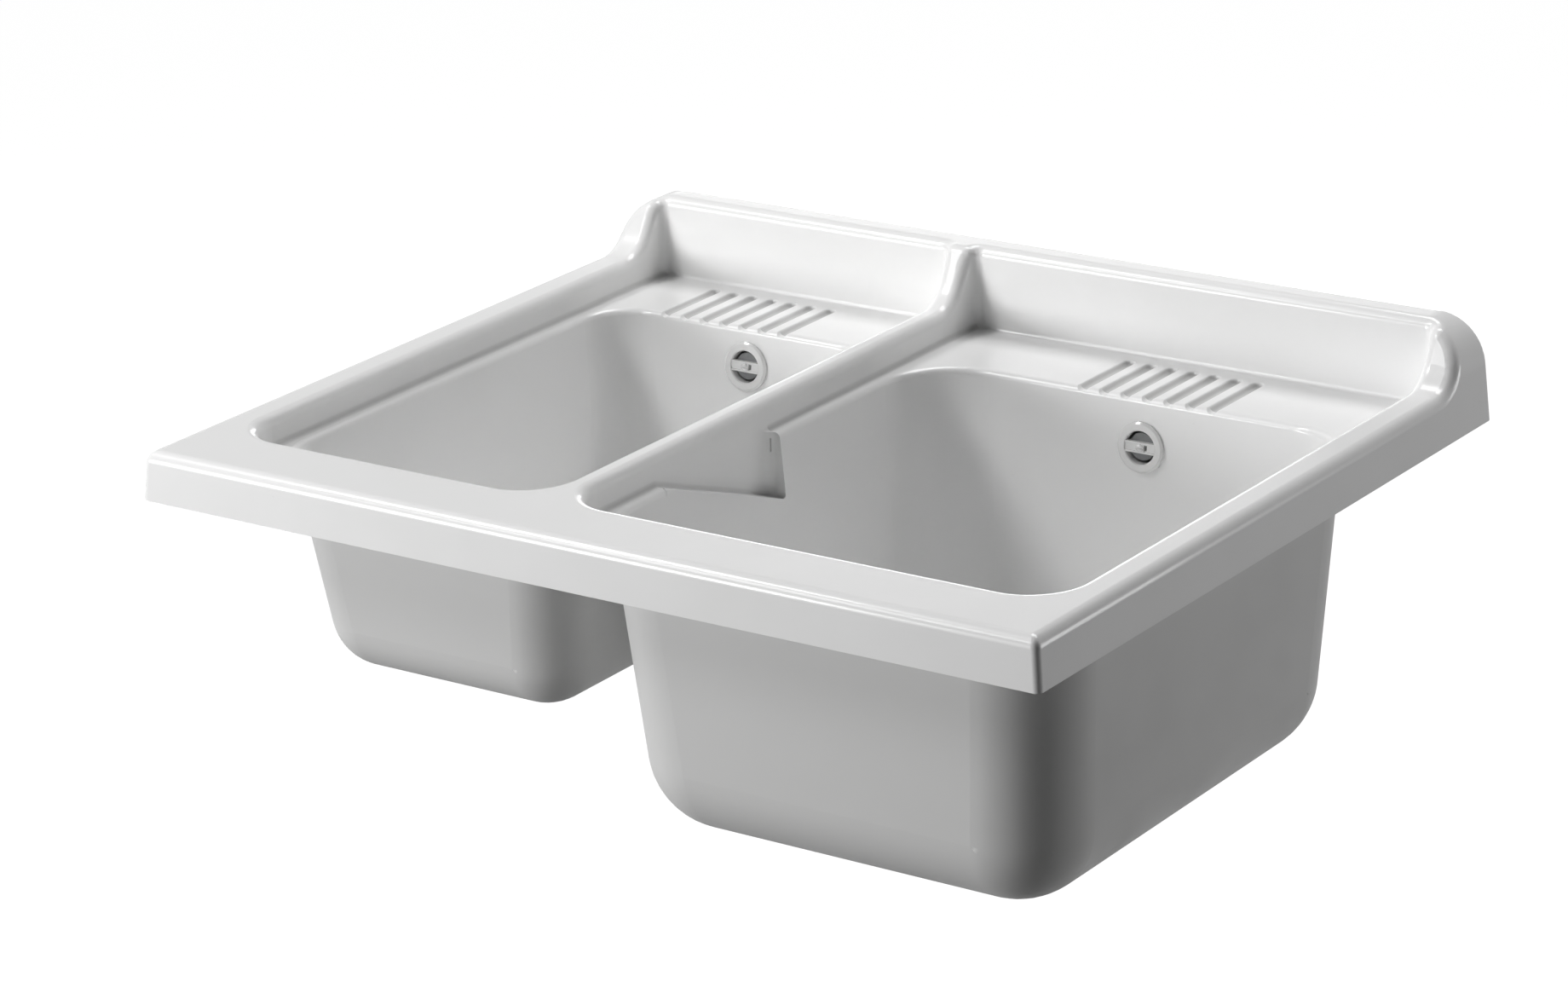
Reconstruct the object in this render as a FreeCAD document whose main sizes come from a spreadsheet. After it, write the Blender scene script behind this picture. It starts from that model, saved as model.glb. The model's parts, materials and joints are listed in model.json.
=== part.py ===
import FreeCAD, Part
import math
import os
import Sketcher
from FreeCAD import Placement, Rotation, Vector

# Double laundry tub. Millimetres. X runs along the wall, Y points to the wall, Z is up.
# The origin is the middle of the back edge of the apron's lower rim, on the wall plane.

document = FreeCAD.newDocument("laundry_tub")
sheet = document.addObject("Spreadsheet::Sheet", "sizes")

SIZES = {
    # Deck and upstand
    "width": 750.0,
    "depth": 610.0,
    "deck_level": 36.0,
    "upstand_top": 77.0,
    "apron_slope": 0.0875,
    "wall": 5.0,
    "sweep_knee": -57.0,
    "sweep_run": 23.0,
    "sweep_radius": 30.0,
    "end_corner_radius": 38.0,
    "edge_radius": 9.0,
    "corner_radius": 5.0,
    "back_edge_radius": 7.0,
    # Recesses above the two bowls
    "left_deck": 33.0,
    "left_recess_right": -70.0,
    "right_recess_left": -49.0,
    "right_deck": 32.5,
    "front_deck": 67.0,
    "recess_back": -28.0,
    "ledge_drop": 23.3,
    "ledge_wall": 7.0,
    "ledge_corner_radius": 3.0,
    "recess_front_radius": 38.0,
    "recess_back_radius": 8.0,
    "rim_radius": 8.0,
    "ledge_edge_radius": 5.0,
    # Bowls, outside faces measured at the level of the apron's lower rim
    "left_bowl_inset": 41.0,
    "left_bowl_right": -78.0,
    "left_bowl_setback": 91.0,
    "left_bowl_bottom": -155.0,
    "left_bowl_slope": 0.117,
    "left_bowl_radius": 42.0,
    "right_bowl_left": -42.5,
    "right_bowl_inset": 39.5,
    "right_bowl_setback": 72.0,
    "right_bowl_bottom": -215.0,
    "right_bowl_slope": 0.075,
    "right_bowl_radius": 60.0,
    "bowl_back": -109.0,
    # Washboard notch in the divider side of the right bowl
    "notch_start": 170.0,
    "notch_length": 137.0,
    "notch_depth": 50.0,
    "notch_end_radius": 9.0,
    # Soap grooves in both shelves
    "groove_radius": 5.0,
    "groove_depth": 3.2,
    "ridge_radius": 2.5,
    "crossing": 0.1,
    "groove_back": -47.0,
    "groove_front": -135.0,
    "groove_pitch": 18.2,
    "groove_count": 7.0,
    "left_groove_first": -280.5,
    "right_groove_first": 98.0,
    # Overflow fittings
    "left_overflow_x": -202.0,
    "left_overflow_z": -17.0,
    "right_overflow_x": 150.0,
    "right_overflow_z": -24.0,
    "overflow_hole": 15.0,
    "rosette_radius": 19.25,
    "rosette_opening": 12.5,
    "rosette_thickness": 3.0,
    "rosette_spigot": 14.5,
    "rosette_bar": 8.2,
    "rosette_rail": 1.3,
    "rosette_panel": 0.8,
    "rosette_block": 3.4,
    "rosette_slot": 2.3,
    "gasket_radius": 22.5,
    "gasket_thickness": 2.0,
    "elbow_flange_radius": 23.0,
    "elbow_flange_thickness": 3.0,
    "elbow_radius": 17.5,
    "elbow_bore": 14.5,
    "elbow_length": 32.0,
    "elbow_hub": 5.5,
    "overflow_screw_radius": 1.75,
    "overflow_screw_head": 2.9,
    "spout_offset": 24.0,
    "spout_length": 46.0,
    # Overflow pipe and its two slip joints
    "pipe_radius": 10.0,
    "pipe_bore": 8.0,
    "pipe_bend": 50.0,
    "pipe_engagement": 12.0,
    "joint_radius": 13.0,
    "slip": 0.15,
    "joint_seal": 4.0,
    "nut_radius": 17.0,
    "nut_skirt": 10.0,
    "nut_end": 3.0,
    # Waste fittings
    "waste_y": -248.0,
    "waste_hole": 24.0,
    "flange_radius": 34.0,
    "flange_thickness": 1.5,
    "flange_cup": 22.5,
    "flange_cup_depth": 12.0,
    "strainer_hole": 2.4,
    "strainer_circle": 14.0,
    "strainer_count": 8.0,
    "waste_seal": 2.0,
    "waste_seal_radius": 32.5,
    "body_flange_radius": 36.0,
    "body_flange_thickness": 4.0,
    "body_radius": 31.0,
    "body_wall": 3.0,
    "body_depth": 38.0,
    "inlet_drop": 25.0,
    "inlet_reach": 52.0,
    "outlet_radius": 23.9,
    "outlet_bore": 19.5,
    "outlet_top": 45.0,
    "outlet_length": 13.5,
    "hub_radius": 7.0,
    "hub_top": 20.0,
    "hub_height": 12.0,
    "hub_rib": 3.0,
    "waste_screw_radius": 3.0,
    "waste_screw_head": 5.5,
    "waste_screw_length": 24.0,
    # Lift-out plug
    "plug_gap": 0.3,
    "plug_seal_height": 5.0,
    "plug_seal_bore": 10.0,
    "plug_cap_thickness": 3.0,
    "knob_radius": 7.0,
    "knob_height": 12.0,
}

for row, (alias, value) in enumerate(SIZES.items(), start=1):
    sheet.set("A%d" % row, alias)
    sheet.set("B%d" % row, repr(value))
    sheet.setAlias("B%d" % row, alias)
document.recompute()


def number(expression):
    """Value of an expression in the sheet's sizes."""
    return float(sheet.evalExpression(expression))


def new_body(name):
    body = document.addObject("PartDesign::Body", name)
    body.Label = name
    return body


def origin_plane(body, role):
    for feature in body.Origin.OriginFeatures:
        if feature.Role == role:
            return feature
    raise ValueError(role)


def new_sketch(body, name, role, lift):
    sketch = body.newObject("Sketcher::SketchObject", name)
    sketch.AttachmentSupport = [(origin_plane(body, role), "")]
    sketch.MapMode = "FlatFace"
    sketch.setExpression("AttachmentOffset.Base.z", lift)
    return sketch


def hold(sketch, kind, geometry, point, expression):
    """Tie one coordinate of a point to the sheet."""
    constraint = Sketcher.Constraint(kind, -1, 1, geometry, point, number(expression))
    index = sketch.addConstraint(constraint)
    sketch.setExpression("Constraints[%d]" % index, expression)


def arc_between(start, end, radius, turn):
    """Arc from start to end that turns left for turn 1 and right for turn -1."""
    chord = end - start
    rise = math.sqrt(radius ** 2 - (chord.Length / 2) ** 2)
    aside = Vector(-chord.y, chord.x, 0).normalize()
    centre = (start + end) * 0.5 + aside * rise * turn
    first, last = (start, end) if turn > 0 else (end, start)
    first_angle = math.atan2(first.y - centre.y, first.x - centre.x)
    last_angle = math.atan2(last.y - centre.y, last.x - centre.x)
    return Part.ArcOfCircle(Part.Circle(centre, Vector(0, 0, 1), radius), first_angle, last_angle)


def polygon(body, name, role, points, lift="0"):
    """Closed outline with each corner tied to the sheet.

    A corner is u and v, or u, v, radius and turn where an arc leads on to the next corner.
    """
    sketch = new_sketch(body, name, role, lift)
    corners = [Vector(number(point[0]), number(point[1]), 0) for point in points]
    starts = []
    ends = []
    for i, point in enumerate(points):
        following = corners[(i + 1) % len(corners)]
        if len(point) == 2:
            sketch.addGeometry(Part.LineSegment(corners[i], following))
        else:
            sketch.addGeometry(arc_between(corners[i], following, number(point[2]), point[3]))
        backwards = len(point) == 4 and point[3] < 0
        starts.append(2 if backwards else 1)
        ends.append(1 if backwards else 2)
    for i, point in enumerate(points):
        j = (i + 1) % len(points)
        sketch.addConstraint(Sketcher.Constraint("Coincident", i, ends[i], j, starts[j]))
    for i, point in enumerate(points):
        hold(sketch, "DistanceX", i, starts[i], point[0])
        hold(sketch, "DistanceY", i, starts[i], point[1])
        if len(point) == 4:
            index = sketch.addConstraint(Sketcher.Constraint("Radius", i, number(point[2])))
            sketch.setExpression("Constraints[%d]" % index, point[2])
    return sketch


def circles(body, name, role, discs, lift="0"):
    """Circles given as centre and radius, tied to the sheet."""
    sketch = new_sketch(body, name, role, lift)
    for i, (u, v, radius) in enumerate(discs):
        centre = Vector(number(u), number(v), 0)
        sketch.addGeometry(Part.Circle(centre, Vector(0, 0, 1), number(radius)))
        hold(sketch, "DistanceX", i, 3, u)
        hold(sketch, "DistanceY", i, 3, v)
        index = sketch.addConstraint(Sketcher.Constraint("Radius", i, number(radius)))
        sketch.setExpression("Constraints[%d]" % index, radius)
    return sketch


def pad(body, name, sketch, length, symmetric=False, reverse=False):
    feature = body.newObject("PartDesign::Pad", name)
    feature.Refine = False
    feature.Profile = sketch
    feature.setExpression("Length", length)
    feature.Reversed = reverse
    if symmetric:
        feature.SideType = "Symmetric"
    document.recompute()
    return feature


def pocket(body, name, sketch, length, symmetric=False, reverse=False):
    before = body.Shape.Volume
    feature = body.newObject("PartDesign::Pocket", name)
    feature.Refine = False
    feature.Profile = sketch
    feature.setExpression("Length", length)
    feature.Reversed = reverse
    if symmetric:
        feature.SideType = "Symmetric"
    document.recompute()
    if not body.Shape.Volume < before - 0.01:
        raise ValueError("pocket %s removes nothing" % name)
    return feature


def revolve(body, name, points):
    """Full turn about the body's own Z axis of a radius and height outline."""
    feature = body.newObject("PartDesign::Revolution", name)
    feature.Profile = polygon(body, name + "_outline", "XZ_Plane", points)
    feature.ReferenceAxis = (feature.Profile[0], ["V_Axis"])
    feature.Angle = 360.0
    document.recompute()
    return feature


def polar(body, name, feature, count):
    pattern = body.newObject("PartDesign::PolarPattern", name)
    pattern.Originals = [feature]
    pattern.Axis = (feature.Profile[0], ["N_Axis"])
    pattern.Angle = 360.0
    pattern.setExpression("Occurrences", count)
    body.Tip = pattern
    document.recompute()
    return pattern


def fillet(body, name, radius, wanted):
    """Round the edges of the body's tip that pass the test."""
    document.recompute()
    base = body.Tip
    names = []
    for i, edge in enumerate(base.Shape.Edges, start=1):
        if wanted(edge):
            names.append("Edge%d" % i)
    if not names:
        raise ValueError("no edge for " + name)
    feature = body.newObject("PartDesign::Fillet", name)
    feature.Refine = False
    feature.Base = (base, names)
    feature.setExpression("Radius", radius)
    document.recompute()
    return feature


def place(body, x, y, z):
    body.setExpression("Placement.Base.x", x)
    body.setExpression("Placement.Base.y", y)
    body.setExpression("Placement.Base.z", z)


def near(value, expression, room=0.05):
    return abs(value - number(expression)) < room


def upright(edge):
    box = edge.BoundBox
    return box.XLength < 0.01 and box.YLength < 0.01 and box.ZLength > 1.0


# Tub shell: deck, apron and upstand

LEDGE = "(sizes.deck_level - sizes.ledge_drop)"
RECESS_LEFT = {"left": "(sizes.left_deck - sizes.width / 2)", "right": "sizes.right_recess_left"}
RECESS_RIGHT = {"left": "sizes.left_recess_right", "right": "(sizes.width / 2 - sizes.right_deck)"}
BOWL_LEFT = {"left": "(sizes.left_bowl_inset - sizes.width / 2)", "right": "sizes.right_bowl_left"}
BOWL_RIGHT = {"left": "sizes.left_bowl_right", "right": "(sizes.width / 2 - sizes.right_bowl_inset)"}
RECESS_FRONT = "(sizes.front_deck - sizes.depth)"
NOTCH_FRONT = "(sizes.notch_start - sizes.depth)"
NOTCH_BACK = "(sizes.notch_start + sizes.notch_length - sizes.depth)"
NOTCH_LOW = "(sizes.deck_level - sizes.ledge_drop - sizes.notch_depth)"


def deck_form(name, inset, foot):
    """Deck block with the upstand, drawn in by the inset on every outer face."""
    body = new_body(name)
    half = "(sizes.width / 2 - %s)" % inset
    top = "(sizes.upstand_top - %s)" % inset
    level = "(sizes.deck_level - %s)" % inset
    front = "(-sizes.depth + %s)" % inset
    rise = "(sizes.upstand_top - sizes.deck_level)"
    shift = "%s * tan(atan(%s / sizes.sweep_run) / 2)" % (inset, rise)
    knee = "(sizes.sweep_knee + %s)" % shift
    slope = "sizes.apron_slope"
    foot_x = "(%s - %s * (%s))" % (half, slope, foot)
    top_x = "(%s - %s * %s)" % (half, slope, top)
    ends = polygon(body, name + "_end_outline", "XZ_Plane", [
        ("-" + foot_x, foot),
        (foot_x, foot),
        (top_x, top),
        ("-" + top_x, top),
    ], lift=inset)
    pad(body, name + "_block", ends, "sizes.depth + 20")
    side = polygon(body, name + "_side_outline", "YZ_Plane", [
        (knee, level),
        ("%s + %s * %s" % (front, slope, level), level),
        ("%s - %s * 20" % (front, slope), "-20"),
        ("-sizes.depth - 60", "-20"),
        ("-sizes.depth - 60", top + " + 30"),
        ("%s + sizes.sweep_run * (%s + 30) / %s" % (knee, rise, rise), top + " + 30"),
    ])
    pocket(body, name + "_sweep", side, "sizes.width + 40", symmetric=True)

    def knee_edge(edge):
        box = edge.BoundBox
        return near(box.ZMin, level) and near(box.ZMax, level) and near(box.YMin, knee) and near(box.YMax, knee)

    def end_edge(edge):
        box = edge.BoundBox
        return near(box.ZMin, top) and near(box.ZMax, top) and box.XLength < 0.01

    def rim_edge(edge):
        box = edge.BoundBox
        if box.ZMin < number(level) - 0.05 or box.YMax > -number(inset) - 1.0:
            return False
        crossing = box.XLength > 0.8 * number("sizes.width") and box.ZLength < 0.01
        if crossing and box.YMin > number("-sizes.depth / 2") and not near(box.ZMin, top):
            return False
        return box.XLength > 0.01 or box.YLength > number("sizes.depth") / 2

    fillet(body, name + "_knee", "sizes.sweep_radius + " + inset, knee_edge)
    fillet(body, name + "_ends", "sizes.end_corner_radius - " + inset, end_edge)
    fillet(body, name + "_rim", "sizes.edge_radius - " + inset, rim_edge)
    return body


deck = deck_form("deck_outside", "0", "0")


def apron_corner(edge):
    box = edge.BoundBox
    reach = number("sizes.edge_radius")
    far_front = box.YMax < number("-sizes.depth") + reach + 4.5
    far_side = min(abs(box.XMin), abs(box.XMax)) > number("sizes.width / 2") - reach - 4.5
    return far_front and far_side and box.ZLength > 0.5 * reach and box.XLength < 1.5 * reach and (
        box.XLength > 0.5 and box.YLength > 0.5)


def back_edge(edge):
    box = edge.BoundBox
    return near(box.YMin, "0") and near(box.YMax, "0") and box.ZMax > 1.0


fillet(deck, "apron_corners", "sizes.corner_radius", apron_corner)
fillet(deck, "upstand_back", "sizes.back_edge_radius", back_edge)


def recess(side):
    """Cut one recess down to its ledge and round its upright corners and its rim."""
    left = RECESS_LEFT[side]
    right = RECESS_RIGHT[side]
    plan = polygon(deck, side + "_recess_plan", "XY_Plane", [
        (left, RECESS_FRONT),
        (right, RECESS_FRONT),
        (right, "sizes.recess_back"),
        (left, "sizes.recess_back"),
    ], lift=LEDGE)
    pocket(deck, side + "_recess", plan, "sizes.upstand_top", reverse=True)

    def inside(box):
        return box.XMin > number(left) - 0.05 and box.XMax < number(right) + 0.05

    def front_corner(edge):
        return upright(edge) and inside(edge.BoundBox) and near(edge.BoundBox.YMin, RECESS_FRONT)

    def back_corner(edge):
        return upright(edge) and inside(edge.BoundBox) and near(edge.BoundBox.YMin, "sizes.recess_back")

    fillet(deck, side + "_recess_front_corners", "sizes.recess_front_radius", front_corner)
    fillet(deck, side + "_recess_back_corners", "sizes.recess_back_radius", back_corner)
    walls = []
    for face in deck.Tip.Shape.Faces:
        box = face.BoundBox
        if near(box.ZMin, LEDGE) and box.ZLength > 10 and inside(box) and box.YMax < -1.0:
            walls.append(face)
    tops = []
    for face in walls:
        for edge in face.Edges:
            if edge.BoundBox.ZMin > number(LEDGE) + 1 and not upright(edge):
                tops.append(edge)
    fillet(deck, side + "_rim", "sizes.rim_radius", lambda edge: any(edge.isSame(top) for top in tops))

    def foot_of_wall(edge):
        box = edge.BoundBox
        return near(box.ZMin, LEDGE) and near(box.ZMax, LEDGE) and inside(box) and box.YMax < -1.0

    fillet(deck, side + "_ledge_corner", "sizes.ledge_corner_radius", foot_of_wall)


recess("left")
recess("right")

# Tub shell: bowls, cavities and the hollow below the deck


def bowl_form(name, side, inset, top):
    """One bowl as a solid with sloping sides, drawn in by the inset."""
    body = new_body(name)
    slope = "sizes.%s_bowl_slope" % side
    left = "(%s + %s)" % (BOWL_LEFT[side], inset)
    right = "(%s - %s)" % (BOWL_RIGHT[side], inset)
    front = "(sizes.%s_bowl_setback - sizes.depth + %s)" % (side, inset)
    back = "(sizes.bowl_back - %s)" % inset
    floor = "(sizes.%s_bowl_bottom + %s)" % (side, inset)
    across = polygon(body, name + "_across", "XZ_Plane", [
        ("%s - %s * %s" % (left, slope, floor), floor),
        ("%s + %s * %s" % (right, slope, floor), floor),
        ("%s + %s * %s" % (right, slope, top), top),
        ("%s - %s * %s" % (left, slope, top), top),
    ])
    pad(body, name + "_block", across, "sizes.depth")
    above = "(%s + 20)" % top
    below = "(%s - 20)" % floor
    front_wedge = polygon(body, name + "_front_outline", "YZ_Plane", [
        ("%s - %s * %s" % (front, slope, above), above),
        ("-sizes.depth - 60", above),
        ("-sizes.depth - 60", below),
        ("%s - %s * %s" % (front, slope, below), below),
    ])
    pocket(body, name + "_front", front_wedge, "sizes.width + 40", symmetric=True)
    back_wedge = polygon(body, name + "_back_outline", "YZ_Plane", [
        ("%s + %s * %s" % (back, slope, above), above),
        ("%s + %s * %s" % (back, slope, below), below),
        ("60", below),
        ("60", above),
    ])
    pocket(body, name + "_back", back_wedge, "sizes.width + 40", symmetric=True)

    def below_top(edge):
        return near(edge.BoundBox.ZMin, floor)

    fillet(body, name + "_rounding", "sizes.%s_bowl_radius - %s" % (side, inset), below_top)
    return body


def recess_jacket(side):
    """Outside of one recess: its plan grown by the wall, with a floor below the ledge."""
    name = side + "_recess_jacket"
    body = new_body(name)
    left = "(%s - sizes.wall)" % RECESS_LEFT[side]
    right = "(%s + sizes.wall)" % RECESS_RIGHT[side]
    front = "(%s - sizes.wall)" % RECESS_FRONT
    back = "(sizes.recess_back + sizes.wall)"
    floor = "(%s - sizes.ledge_wall)" % LEDGE
    plan = polygon(body, name + "_plan", "XY_Plane", [
        (left, front),
        (right, front),
        (right, back),
        (left, back),
    ], lift=floor)
    pad(body, name + "_block", plan, "sizes.upstand_top")

    def front_corner(edge):
        return upright(edge) and near(edge.BoundBox.YMin, front)

    def back_corner(edge):
        return upright(edge) and near(edge.BoundBox.YMin, back)

    fillet(body, name + "_front", "sizes.recess_front_radius + sizes.wall", front_corner)
    fillet(body, name + "_back", "sizes.recess_back_radius + sizes.wall", back_corner)
    return body


left_bowl = bowl_form("left_bowl_outside", "left", "0", "(%s - 1)" % LEDGE)
right_bowl = bowl_form("right_bowl_outside", "right", "0", "(%s - 1)" % LEDGE)
left_cavity = bowl_form("left_bowl_inside", "left", "sizes.wall", "(%s + 2)" % LEDGE)
right_cavity = bowl_form("right_bowl_inside", "right", "sizes.wall", "(%s + 2)" % LEDGE)
hollow = deck_form("deck_inside", "sizes.wall", "-1")
left_jacket = recess_jacket("left")
right_jacket = recess_jacket("right")

notch_boss = new_body("notch_boss")
boss_outline = polygon(notch_boss, "notch_boss_outline", "YZ_Plane", [
    (NOTCH_FRONT + " - sizes.wall", LEDGE + " - 1"),
    (NOTCH_FRONT + " - sizes.wall", LEDGE + " - sizes.wall - 1"),
    (NOTCH_BACK + " + sizes.wall", NOTCH_LOW + " - 2 * sizes.wall"),
    (NOTCH_BACK + " + sizes.wall", LEDGE + " - 1"),
], lift="sizes.right_recess_left - sizes.wall")
boss_reach = "sizes.right_bowl_left - sizes.right_recess_left + 2 * sizes.wall"
pad(notch_boss, "notch_boss_block", boss_outline, boss_reach)


def fuse(name, members):
    feature = document.addObject("Part::MultiFuse", name)
    feature.Shapes = members
    feature.Refine = False
    return feature


def cut(name, base, tool):
    feature = document.addObject("Part::Cut", name)
    feature.Base = base
    feature.Tool = tool
    feature.Refine = False
    return feature


kept = fuse("kept_below_deck", [left_jacket, right_jacket, left_bowl, right_bowl, notch_boss])
underside = cut("underside", hollow, kept)
solid_tub = fuse("solid_tub", [deck, left_bowl, right_bowl, notch_boss])
deck_shell = cut("deck_shell", solid_tub, underside)
left_hollowed = cut("left_hollowed", deck_shell, left_cavity)
moulding = cut("moulding", left_hollowed, right_cavity)
document.recompute()

# Tub shell: ledge edges, washboard notch, soap grooves and holes

ledged = new_body("ledged_moulding")
ledged.BaseFeature = moulding
document.recompute()


def ledge_edge(edge):
    box = edge.BoundBox
    if not (near(box.ZMin, LEDGE) and near(box.ZMax, LEDGE)):
        return False
    margin = number("sizes.ledge_corner_radius") + 1
    if box.YMin < number(RECESS_FRONT) + margin or box.YMax > number("sizes.recess_back") - margin:
        return False
    for side in ("left", "right"):
        low = number(RECESS_LEFT[side]) + margin
        high = number(RECESS_RIGHT[side]) - margin
        if box.XMin > low and box.XMax < high:
            return True
    return False


fillet(ledged, "ledge_edges", "sizes.ledge_edge_radius", ledge_edge)

notch = new_body("washboard_notch")
notch_outline = polygon(notch, "notch_outline", "YZ_Plane", [
    (NOTCH_FRONT, LEDGE),
    (NOTCH_BACK, NOTCH_LOW),
    (NOTCH_BACK, LEDGE + " + 2 * sizes.ledge_corner_radius"),
    (NOTCH_FRONT, LEDGE + " + 2 * sizes.ledge_corner_radius"),
], lift="sizes.right_recess_left")
notch_reach = "sizes.right_bowl_left - sizes.right_recess_left + 4 * sizes.wall"
pad(notch, "notch_block", notch_outline, notch_reach)


def notch_end(edge):
    box = edge.BoundBox
    return upright(edge) and near(box.YMin, NOTCH_BACK) and near(box.XMin, "sizes.right_recess_left")


def notch_floor(edge):
    box = edge.BoundBox
    sloping = near(box.XMax, "sizes.right_recess_left") and near(box.YMin, NOTCH_FRONT)
    return sloping and near(box.ZMax, LEDGE)


fillet(notch, "notch_end", "sizes.notch_end_radius", notch_end)
fillet(notch, "notch_floor", "sizes.ledge_corner_radius", notch_floor)


def box_block(name, length, width, height):
    feature = document.addObject("Part::Box", name)
    feature.setExpression("Length", length)
    feature.setExpression("Width", width)
    feature.setExpression("Height", height)
    return feature


def cylinder(name, radius, height):
    feature = document.addObject("Part::Cylinder", name)
    feature.setExpression("Radius", radius)
    feature.setExpression("Height", height)
    return feature


def bowl_wall_x(z):
    """Inner face of the right bowl's divider wall at a height."""
    return number("sizes.right_bowl_left + sizes.wall - sizes.right_bowl_slope * (%s)" % z)


def edge_rounder(name, start, end, first_out, second_out):
    """Cutter that rounds the edge from start to end between two faces with given outward directions."""
    radius = number("sizes.ledge_edge_radius")
    back = radius - number("sizes.crossing")
    along = (end - start).normalize()
    corner = start - first_out * back - second_out * back
    turn = Rotation(first_out, second_out, along, "ZXY")
    block = box_block(name + "_block", "2 * sizes.ledge_edge_radius", "2 * sizes.ledge_edge_radius", "1")
    block.Height = (end - start).Length
    block.Placement = Placement(corner, turn)
    core = cylinder(name + "_core", "sizes.ledge_edge_radius", "1")
    core.Height = (end - start).Length
    core.Placement = Placement(corner, turn)
    return cut(name, block, core)


def soap_grooves(side):
    """Row of cutters with a round bottom, rolled shoulders and a round back end."""
    bottom = "(-sizes.groove_depth)"
    shoulder_y = "sizes.crossing"
    spread = "(sizes.groove_radius + sizes.ridge_radius)"
    drop = "(%s - sizes.groove_depth - sizes.crossing)" % spread
    shoulder = "sqrt(%s ^ 2 - %s ^ 2)" % (spread, drop)
    meet_x = "(%s * sizes.groove_radius / %s)" % (shoulder, spread)
    meet_y = "(sizes.groove_radius - sizes.groove_depth - %s * sizes.groove_radius / %s)" % (drop, spread)
    top = "sizes.groove_radius"
    row = []
    for i in range(int(SIZES["groove_count"])):
        name = "%s_soap_groove_%d" % (side, i + 1)
        cutter = new_body(name)
        section = polygon(cutter, name + "_section", "XZ_Plane", [
            ("-" + shoulder, top),
            ("-" + shoulder, shoulder_y, "sizes.ridge_radius", -1),
            ("-" + meet_x, meet_y, "sizes.groove_radius", 1),
            (meet_x, meet_y, "sizes.ridge_radius", -1),
            (shoulder, shoulder_y),
            (shoulder, top),
        ])
        pad(cutter, name + "_run", section, "sizes.groove_back - sizes.groove_front")
        revolve(cutter, name + "_end", [
            ("0", top),
            ("0", bottom, "sizes.groove_radius", 1),
            (meet_x, meet_y, "sizes.ridge_radius", -1),
            (shoulder, shoulder_y),
            (shoulder, top),
        ])
        x = "sizes.%s_groove_first + sizes.groove_pitch * %d" % (side, i)
        place(cutter, x, "sizes.groove_back", LEDGE)
        row.append(cutter)
    return row


def wall_point(side):
    """Centre of an overflow hole on the inner face of the bowl's back wall."""
    x = "sizes.%s_overflow_x" % side
    y = "(sizes.bowl_back - sizes.wall + sizes.%s_bowl_slope * sizes.%s_overflow_z)" % (side, side)
    z = "sizes.%s_overflow_z" % side
    return x, y, z


def face_into_bowl(thing, side, back="0"):
    """Turn a piece so that its own Z axis leaves the back wall square, into the bowl."""
    x, y, z = wall_point(side)
    lean = "atan(sizes.%s_bowl_slope)" % side
    thing.Placement = Placement(Vector(0, 0, 0), Rotation(Vector(1, 0, 0), 90 - number(lean)))
    place(thing, x, "%s + (%s) * cos(%s)" % (y, back, lean), "%s - (%s) * sin(%s)" % (z, back, lean))


floor_out = Vector(0, number("sizes.notch_depth"), number("sizes.notch_length")).normalize()
wall_out = Vector(1, 0, number("sizes.right_bowl_slope")).normalize()
floor_start = Vector(bowl_wall_x(LEDGE), number(NOTCH_FRONT), number(LEDGE))
floor_end = Vector(bowl_wall_x(NOTCH_LOW), number(NOTCH_BACK), number(NOTCH_LOW))
floor_rounder = edge_rounder("notch_floor_rounder", floor_start, floor_end, floor_out, wall_out)
nose_start = Vector(number("sizes.right_recess_left + sizes.ledge_corner_radius"), number(NOTCH_BACK), number(LEDGE))
nose_end = Vector(number("sizes.right_bowl_left + 4 * sizes.wall"), number(NOTCH_BACK), number(LEDGE))
nose_rounder = edge_rounder("notch_nose_rounder", nose_start, nose_end, Vector(0, -1, 0), Vector(0, 0, 1))

cutters = [notch, floor_rounder, nose_rounder]
for side in ("left", "right"):
    cutters += soap_grooves(side)
    overflow_hole = cylinder(side + "_overflow_hole", "sizes.overflow_hole", "sizes.wall * 4")
    face_into_bowl(overflow_hole, side, "sizes.wall * 2")
    waste_hole = cylinder(side + "_waste_hole", "sizes.waste_hole", "sizes.wall * 3")
    place(waste_hole, "sizes.%s_overflow_x" % side, "sizes.waste_y", "sizes.%s_bowl_bottom - sizes.wall" % side)
    cutters += [overflow_hole, waste_hole]
shell = cut("tub_shell", ledged, fuse("shell_cutters", cutters))
document.recompute()

nodes = [shell]

# Fittings


def groove(body, name, points):
    """Cut a full turn of a radius and height outline out of the body."""
    before = body.Shape.Volume
    feature = body.newObject("PartDesign::Groove", name)
    feature.Profile = polygon(body, name + "_outline", "XZ_Plane", points)
    feature.ReferenceAxis = (feature.Profile[0], ["V_Axis"])
    feature.Angle = 360.0
    document.recompute()
    if not body.Shape.Volume < before - 0.01:
        raise ValueError("groove %s removes nothing" % name)
    return feature


def node(name):
    body = new_body(name)
    nodes.append(body)
    return body


def ring(name, inner, outer, low, high):
    body = node(name)
    revolve(body, name + "_turn", [(inner, low), (outer, low), (outer, high), (inner, high)])
    return body


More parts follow.
